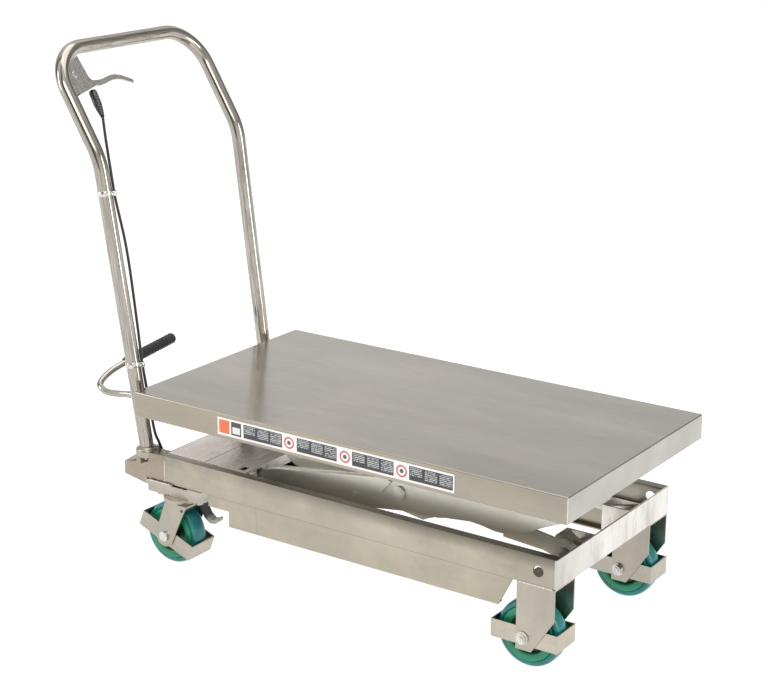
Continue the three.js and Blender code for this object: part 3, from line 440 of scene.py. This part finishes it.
DECK_TOP, DECK_END, DECK_SIDE = 0.365, 0.480, 0.258
RAIL_TOP, RAIL_OUTER = 0.2252, 0.2143
NEAR = 0.0002
fold("deck_pan", 0.0027, lambda at: at.z > DECK_TOP - NEAR
     or (abs(at.x) > DECK_END - NEAR and abs(at.y) > DECK_SIDE - NEAR))
for rail in ("rail_near", "rail_far"):
    fold(rail, 0.0075, lambda at: at.z > RAIL_TOP - NEAR and abs(at.y) > RAIL_OUTER - NEAR)
soften(0.0010, "front_end_plate", "pump_cover", segments=3)
soften(0.0008, "rear_end_plate", "skirt_near", "skirt_far",
       "rigid_fork_near", "rigid_fork_far", "rigid_guard_near", "rigid_guard_far",
       "swivel_guard_near", "swivel_guard_far")


# ---------- mesh helpers ----------

def smooth_by_angle(obj, degrees):
    data = obj.data
    data.polygons.foreach_set("use_smooth", [True] * len(data.polygons))
    data.set_sharp_from_angle(angle=math.radians(degrees))


def make(name, vertices, faces, material, body, uv=None, angle=35):
    data = bpy.data.meshes.new(name)
    data.from_pydata([tuple(v) for v in vertices], [], faces)
    data.validate()
    if uv:
        layer = data.uv_layers.new(name="UVMap")
        for loop in data.loops:
            layer.data[loop.index].uv = uv[loop.vertex_index]
    data.materials.append(material)
    obj = bpy.data.objects.new(name, data)
    bpy.context.scene.collection.objects.link(obj)
    smooth_by_angle(obj, angle)
    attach(obj, body)
    return obj


def tube(name, path, radius, material, body, sides=32, replaced=()):
    """A closed round tube along points, in metres. radius is one number or one for each point."""
    points = [Vector(p) for p in path]
    radii = radius if isinstance(radius, (list, tuple)) else [radius] * len(points)
    end = len(points) - 1
    tangents = [(points[min(i + 1, end)] - points[max(i - 1, 0)]).normalized() for i in range(end + 1)]
    side = tangents[0].orthogonal().normalized()
    vertices, uv, travelled = [], [], 0.0
    for i, (point, along) in enumerate(zip(points, tangents)):
        side = (side - along * side.dot(along)).normalized()
        other = along.cross(side)
        travelled += (point - points[i - 1]).length if i else 0
        for k in range(sides):
            turn_by = 2 * math.pi * k / sides
            vertices.append(point + (side * math.cos(turn_by) + other * math.sin(turn_by)) * radii[i])
            uv.append((0.5 - 0.5 * math.cos(turn_by), travelled * 10))
    faces = []
    for i in range(len(points) - 1):
        for k in range(sides):
            a, b = i * sides + k, i * sides + (k + 1) % sides
            faces.append((a, b, b + sides, a + sides))
    faces.append(tuple(reversed(range(sides))))
    last = (len(points) - 1) * sides
    faces.append(tuple(range(last, last + sides)))
    obj = make(name, vertices, faces, material, body, uv)
    if replaced:
        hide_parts(*replaced)
    return obj


def lathe(name, profile, centre, material, body, sides=72, replaced=(), angle=35):
    """A ring turned about the Y direction through centre. profile is a closed list of (radius, y) in mm."""
    vertices, faces, uv = [], [], []
    count = len(profile)
    for k in range(sides):
        turn_by = 2 * math.pi * k / sides
        for r, y in profile:
            vertices.append((centre[0] + r * MM * math.cos(turn_by), centre[1] + y * MM,
                             centre[2] + r * MM * math.sin(turn_by)))
            uv.append((r * MM, y * MM))
    for k in range(sides):
        for j in range(count):
            a, b = k * count + j, k * count + (j + 1) % count
            c, d = ((k + 1) % sides) * count + (j + 1) % count, ((k + 1) % sides) * count + j
            faces.append((a, b, c, d))
    obj = make(name, vertices, faces, material, body, uv, angle)
    if replaced:
        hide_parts(*replaced)
    return obj


def rounded(corners):
    """Points of a path with rounded corners. Each corner is (x, y, z, radius, steps) in mm."""
    at = [Vector(c[:3]) for c in corners]
    points = []
    for i, (*_, radius, steps) in enumerate(corners):
        if not radius:
            points.append(at[i])
            continue
        a = (at[i - 1] - at[i]).normalized()
        b = (at[i + 1] - at[i]).normalized()
        half = a.angle(b) / 2
        centre = at[i] + (a + b).normalized() * (radius / math.sin(half))
        start = at[i] + a * (radius / math.tan(half)) - centre
        end = at[i] + b * (radius / math.tan(half)) - centre
        sweep = start.angle(end)
        for k in range(steps + 1):
            t = k / steps
            points.append(centre + start * (math.sin((1 - t) * sweep) / math.sin(sweep))
                          + end * (math.sin(t * sweep) / math.sin(sweep)))
    return points


def catmull(points, per_span=8):
    """A smooth curve through points, denser than they are (centripetal)."""
    pts = [Vector(p) for p in points]
    pts = [pts[0] * 2 - pts[1]] + pts + [pts[-1] * 2 - pts[-2]]
    out = []
    for i in range(1, len(pts) - 2):
        p0, p1, p2, p3 = pts[i - 1:i + 3]
        t0 = 0.0
        t1 = t0 + (p1 - p0).length ** 0.5
        t2 = t1 + (p2 - p1).length ** 0.5
        t3 = t2 + (p3 - p2).length ** 0.5
        for k in range(per_span):
            t = t1 + (t2 - t1) * k / per_span
            a1 = p0 * ((t1 - t) / (t1 - t0)) + p1 * ((t - t0) / (t1 - t0))
            a2 = p1 * ((t2 - t) / (t2 - t1)) + p2 * ((t - t1) / (t2 - t1))
            a3 = p2 * ((t3 - t) / (t3 - t2)) + p3 * ((t - t2) / (t3 - t2))
            b1 = a1 * ((t2 - t) / (t2 - t0)) + a2 * ((t - t0) / (t2 - t0))
            b2 = a2 * ((t3 - t) / (t3 - t1)) + a3 * ((t - t1) / (t3 - t1))
            out.append(b1 * ((t2 - t) / (t2 - t1)) + b2 * ((t - t1) / (t2 - t1)))
    return out + [pts[-2]]


def metres(points):
    return [Vector(p) * MM for p in points]


# ---------- push handle, clips and cable ----------

TUBE_R, TUBE_BOTTOM = 14.3, 205.4
KNEE_BEND, TOP_BEND = (132, 14), (84.5, 28)  # bend radius in mm, steps
FOOT, KNEE, TOP = (-505.6, 198.6, 228.0), (-589.6, 210.0, 800.4), (-710.6, 210.0, 997.7)
LEG_SLOPE = [(KNEE[i] - FOOT[i]) / (KNEE[2] - FOOT[2]) for i in range(3)]


def on_leg(side, z, dx=0.0, dy=0.0):
    rise = z - FOOT[2]
    return (FOOT[0] + LEG_SLOPE[0] * rise + dx, side * (FOOT[1] + LEG_SLOPE[1] * rise + dy), z)


def clip_point(z, dx, dy):
    """A point beside the near leg: dx towards +X and dy towards the middle, in mm."""
    x, y, _ = on_leg(-1, z)
    return (x + dx, y + dy, z)


handle_path = rounded([
    (*on_leg(-1, TUBE_BOTTOM), 0, 0), (KNEE[0], -KNEE[1], KNEE[2], *KNEE_BEND),
    (TOP[0], -TOP[1], TOP[2], *TOP_BEND), (TOP[0], TOP[1], TOP[2], *TOP_BEND),
    (KNEE[0], KNEE[1], KNEE[2], *KNEE_BEND), (*on_leg(1, TUBE_BOTTOM), 0, 0)])
tube("push_handle", metres(handle_path), TUBE_R * MM, tube_metal, "base", 40,
     ("handle_loop",))

# (height, radius) of the collar and of the weld that joins it to the leg
COLLAR_STEPS = ((212.4, 22.9), (213.2, 23.3), (223.5, 23.3), (226.5, 22.7), (228.3, 21.2), (229.6, 18.2),
                (232.0, 15.6))
COLLAR_MIDDLE = 219
for side_name, side in SIDES:
    x, y, _ = on_leg(side, COLLAR_MIDDLE)
    tube(f"socket_collar_{side_name}", metres([(x, y, z) for z, _ in COLLAR_STEPS]),
         [r * MM for _, r in COLLAR_STEPS], caster_metal, "base", 48)

# a thin skin round each rear corner of the frame, which goes on round the corner below the collar
SKIN, CORNER_AT, CORNER_R = 0.4, (-485.0, 196.3), 18.45
SKIN_BOTTOM, SKIN_TOP, UNDER_COLLAR = 169.6, 224.8, 212.0
STRAIGHT_X = (-448.0, -487.0)
for side_name, side in SIDES:
    outline = [(x, 0) for x in STRAIGHT_X] + [(None, math.radians(step)) for step in range(10, 61, 5)]
    vertices = []
    for x, turn_by in outline:
        for inset, top in ((0, False), (0, True), (SKIN, True), (SKIN, False)):
            radius = CORNER_R - inset
            at_x = x if x is not None else CORNER_AT[0] - radius * math.sin(turn_by)
            at_y = CORNER_AT[1] + radius * math.cos(turn_by)
            at_z = (SKIN_TOP if x is not None else UNDER_COLLAR) if top else SKIN_BOTTOM
            vertices.append((at_x * MM, side * at_y * MM, at_z * MM))
    faces = [(i * 4 + k, i * 4 + (k + 1) % 4, i * 4 + 4 + (k + 1) % 4, i * 4 + 4 + k)
             for i in range(len(outline) - 1) for k in range(4)]
    last = len(vertices) - 4
    faces += [(3, 2, 1, 0), (last, last + 1, last + 2, last + 3)]
    make(f"corner_skin_{side_name}", vertices, faces, frame_metal, "base")

CLIPS = ((736.0, 14.0, 10.7), (397.0, 15.4, 9.5))  # height, and the cable's offset from the leg
CLIP_HALF, SCREW_OFFSET = 5, (20.0, 1.0)
for number, (z, dx, dy) in enumerate(CLIPS):
    low, high = Vector(on_leg(-1, z - CLIP_HALF)), Vector(on_leg(-1, z + CLIP_HALF))
    tube(f"cable_clip_{number + 1}", metres([low, low.lerp(high, 0.1), low.lerp(high, 0.9), high]),
         [(TUBE_R + r) * MM for r in (0.9, 1.5, 1.5, 0.9)], bolt_metal, "base", 40)
    low, high = Vector(clip_point(z - CLIP_HALF, dx, dy)), Vector(clip_point(z + CLIP_HALF, dx, dy))
    tube(f"clip_sleeve_{number + 1}", metres([low, low.lerp(high, 0.1), low.lerp(high, 0.9), high]),
         [r * MM for r in (4.2, 4.9, 4.9, 4.2)], bolt_metal, "base", 24)
    screw_at = Vector(clip_point(z, *SCREW_OFFSET))
    screw = [screw_at - Vector((6, 0, 0)), screw_at, screw_at + Vector((1.2, 0, 0))]
    tube(f"clip_screw_{number + 1}", metres(screw),
         [r * MM for r in (3.2, 3.2, 2.2)], bolt_metal, "base", 16)

BOOT = (Vector((-660, -147, 916)), Vector((-614, -171, 876)))
boot_points, boot_radii = [], []
RINGS, BOOT_STEPS = 7, 56
for i in range(BOOT_STEPS + 1):
    t = i / BOOT_STEPS
    body_r = 8.3 * (1 - t) ** 0.8 + 3.9 if t > 0.04 else 7.6
    body_r = min(body_r, 8.4)
    groove = 0.75 * max(0.0, math.sin(2 * math.pi * RINGS * (t - 0.30) / 0.70)) if t > 0.30 else 0.0
    boot_points.append(BOOT[0].lerp(BOOT[1], t) * MM)
    boot_radii.append((body_r - groove) * MM)
tube("cable_boot_moulded", boot_points, boot_radii, black_gloss, "base", 28, ("cable_boot",))

boot_along = (BOOT[1] - BOOT[0]).normalized()
cable_guide = [
    BOOT[1] + boot_along * 0.9, (-594, -186, 836),
    *[clip_point(CLIPS[0][0] + d, *CLIPS[0][1:]) for d in (8, 0, -8)],
    (-550, -188, 629), (-528, -189, 478),
    *[clip_point(CLIPS[1][0] + d, *CLIPS[1][1:]) for d in (8, 0, -8)],
    clip_point(320, 15.5, 11.0), (-494, -185, 253), (-490.5, -180.5, 238), (-487, -177, 224),
    (-482.5, -173, 210), (-477, -163, 200), (-461.2, -117, 197), (-447, -65, 196), (-440, -39, 196)]
CABLE_R = 2.75
tube("release_cable_sheath", metres(catmull(cable_guide, 7)), CABLE_R * MM, cable_black, "base", 16,
     ("release_cable",))

# ---------- foot pedal ----------

PEDAL_X, PEDAL_Y, PEDAL_Z = -420.0, -163.5, 292.0
PEDAL_ROD_R = 6.6
pedal_path = rounded([(PEDAL_X, 27, PEDAL_Z, 0, 0), (PEDAL_X, PEDAL_Y, PEDAL_Z, 22, 10),
                      (-540, PEDAL_Y, 309.5, 0, 0)])
pedal_path = pedal_path[:-1] + catmull([
    (-540, PEDAL_Y, 309.5), (-580, PEDAL_Y, 313.5), (-608, -167, 310.5), (-637, -173, 312.5),
    (-656, -167, 321), (-665, -130, 335), (-661, -89, 345.5)], 10) + [Vector((-656, 52, 364))]
tube("foot_pedal_rod", metres(pedal_path), PEDAL_ROD_R * MM, tube_metal, "foot_pedal", 28)

GRIP = (Vector((-661, -89, 345.5)), Vector((-656, 52, 364)))
grip_points, grip_radii = [], []
GRIP_RIBS, GRIP_STEPS = 15, 120
for i in range(GRIP_STEPS + 1):
    t = 0.03 + 1.02 * i / GRIP_STEPS
    rib = math.sin(2 * math.pi * GRIP_RIBS * t)
    radius = 10.7 + 0.8 * max(-0.6, min(0.6, rib * 1.6)) / 0.6
    if i < 2 or i > GRIP_STEPS - 2:
        radius = 9.6
    grip_points.append(GRIP[0].lerp(GRIP[1], t) * MM)
    grip_radii.append(radius * MM)
tube("pedal_grip_ribbed", grip_points, grip_radii, black_rubber, "foot_pedal", 40,
     ("pedal_grip",))

# ---------- wheels ----------

# (radius, y) from the bore out to the tread, on the -Y side
HUB_SIDE = [(6.5, -21), (13.2, -21), (14.2, -20), (15.5, -9.5), (20, -8.2), (31, -7.8), (34.6, -9.0),
            (37.2, -17.2), (39.0, -19.4), (41.0, -20.0), (49.4, -20.2), (51.2, -19.4), (52.2, -16.6)]
TREAD_SIDE = [(52.3, -16.4), (53.4, -17.4), (57.5, -17.6), (60.4, -16.4), (62.4, -13.2), (63.3, -9),
              (63.5, -2)]


def both_sides(half):
    """A profile completed with its mirror image in the wheel's middle plane."""
    return half + [(r, -y) for r, y in reversed(half)]


HUB = both_sides(HUB_SIDE)
TREAD = both_sides(TREAD_SIDE)
WHEEL_R, RIGID_Y = 63.5, 179.2
WHEELS = [("rigid", 375.5, RIGID_Y), ("swivel", -438.0, 193.4)]
for kind, x, offset in WHEELS:
    for side_name, side in SIDES:
        centre = Vector((x, side * offset, WHEEL_R)) * MM
        body = f"{kind}_wheel_{side_name}"
        lathe(f"{kind}_hub_{side_name}", HUB, centre, hub_plastic, body, 72,
              (f"hub_{kind}_{side_name}",))
        lathe(f"{kind}_tyre_{side_name}", TREAD, centre, tread_rubber, body, 96,
              (f"tread_{kind}_{side_name}",), angle=60)

# ---------- smooth shading on the turned CAD nodes ----------

PAIRED = ("handle_socket", "base_roller", "deck_roller", "rigid_axle", "swivel_axle", "swivel_fork",
          "outer_arm", "swivel_mount")
SINGLE = ("lever_bracket", "release_lever", "deck_pivot_shaft", "cylinder_rod", "cylinder_barrel",
          "pump_unit", "pump_plunger", "inner_arm_frame", "pedal_rod", "deck_subframe")
for name in SINGLE + tuple(f"{pair}_{side_name}" for pair in PAIRED for side_name, _ in SIDES):
    smooth_by_angle(nodes[name], 32)
paint(tube_metal, "pedal_rod")

# ---------- label strip ----------


def label_material():
    """White film with coloured blocks, as X ranges in metres: generic panels, specks and rings."""
    g = Graph("label_film")
    at = g.axes()
    x, z = at["X"], at["Z"]

    def inside(value, low, high):
        return g.math("MULTIPLY", g.math("GREATER_THAN", value, low), g.math("LESS_THAN", value, high))

    def block(low, high, bottom=0.3265, top=0.353):
        return g.math("MULTIPLY", inside(x, low, high), inside(z, bottom, top))

    tone = g.mix(g.range(g.noise(g.at, 60, 4), 0.3, 0.7, 0, 1), (0.80, 0.80, 0.78), (0.88, 0.88, 0.87))
    rows = g.math("GREATER_THAN", g.math("FRACT", g.math("MULTIPLY", z, 290.0)), 0.42)
    dashes = g.math("GREATER_THAN", g.noise(g.scaled((420, 1, 290)), 1.0, 2), 0.43)
    texture = g.math("MULTIPLY", rows, dashes)
    for low, high in ((-0.2085, -0.118), (-0.084, 0.006), (0.040, 0.130), (0.163, 0.254)):
        tone = g.mix(block(low, high), tone, (0.030, 0.036, 0.042))
        for number, column in enumerate((0.0, 0.031, 0.061)):
            left = low + 0.002 + column
            lines = g.math("MULTIPLY", block(left, left + 0.0255, 0.3345 - 0.002 * number, 0.3510), texture)
            tone = g.mix(g.math("MULTIPLY", lines, 0.8), tone, (0.60, 0.61, 0.61))
    tone = g.mix(block(-0.267, -0.242), tone, (0.80, 0.16, 0.05))
    tone = g.mix(block(-0.238, -0.214), tone, (0.05, 0.05, 0.055))
    tone = g.mix(block(-0.235, -0.217, 0.330, 0.343), tone, (0.75, 0.75, 0.73))
    for centre in (-0.102, 0.024, 0.147):
        away_x = g.math("POWER", g.math("SUBTRACT", x, centre), 2.0)
        away_z = g.math("POWER", g.math("SUBTRACT", z, 0.3395), 2.0)
        radius = g.math("SQRT", g.math("ADD", away_x, away_z))
        tone = g.mix(inside(radius, -1.0, 0.0042), tone, (0.10, 0.10, 0.10))
        tone = g.mix(inside(radius, 0.0084, 0.0114), tone, (0.72, 0.03, 0.05))
    g.link(tone, g.shader.inputs["Base Color"])
    g.set(Roughness=0.32, Coat_Weight=0.3, Coat_Roughness=0.12)
    g.bump(g.noise(g.at, 180, 3), 0.05, 0.0003)
    return g.material


paint(label_material(), "label_strip")

# ---------- welds ----------


RIPPLE, RIPPLE_STEPS = 3.2, 6


def weld(name, start, end, radius, body):
    """A bead of overlapping ripples between two points, in mm."""
    a, b = Vector(start), Vector(end)
    count = max(8, int((b - a).length / RIPPLE * RIPPLE_STEPS))
    radii = [radius * MM * (0.86 + 0.14 * abs(math.sin(math.pi * i / RIPPLE_STEPS)))
             for i in range(count + 1)]
    radii[0] *= 0.4
    radii[-1] *= 0.4
    path = [a.lerp(b, i / count) * MM for i in range(count + 1)]
    tube(name, path, radii, weld_metal, body, 10)


# x and y of the upright beads, then y and z of the beads along X
FRONT_SEAM, REAR_SEAM, DECK_SEAM = (434.9, 212.8), (-447, 214.2), (478.8, 256.8)
MOUNT_SEAM, FORK_SEAM = (218.6, 169), (RIGID_Y + 35.4, 168.9)


def upright(name, side, seam, low, high, radius, body):
    weld(name, (seam[0], side * seam[1], low), (seam[0], side * seam[1], high), radius, body)


def along(name, side, seam, start, end, radius, body):
    weld(name, (start, side * seam[0], seam[1]), (end, side * seam[0], seam[1]), radius, body)


for side_name, side in SIDES:
    upright(f"weld_rail_front_{side_name}", side, FRONT_SEAM, 171, 224, 1.4, "base")
    upright(f"weld_rail_rear_{side_name}", side, REAR_SEAM, 171, 216, 1.3, "base")
    along(f"weld_mount_{side_name}", side, MOUNT_SEAM, -486, -430, 1.6, "base")
    along(f"weld_fork_outer_{side_name}", side, FORK_SEAM, 364, 433, 1.7, "base")
    upright(f"weld_deck_front_{side_name}", side, DECK_SEAM, 317, 362.5, 1.2, "platform")

# ---------- floor ----------

FLOOR_HALF = 30
floor_data = bpy.data.meshes.new("floor")
floor_corners = [(x * FLOOR_HALF, y * FLOOR_HALF, 0) for x, y in ((-1, -1), (1, -1), (1, 1), (-1, 1))]
floor_data.from_pydata(floor_corners, [], [(0, 1, 2, 3)])
floor = bpy.data.objects.new("floor", floor_data)
bpy.context.scene.collection.objects.link(floor)
floor_graph = Graph("floor_white")
floor_graph.link(floor_graph.mix(floor_graph.noise(floor_graph.at, 3.0), 0.20, 0.24),
                 floor_graph.shader.inputs["Base Color"])
floor_graph.set(Roughness=0.9, Metallic=0.0, Emission_Color=(1, 1, 1, 1), Emission_Strength=0.93)
floor_data.materials.append(floor_graph.material)
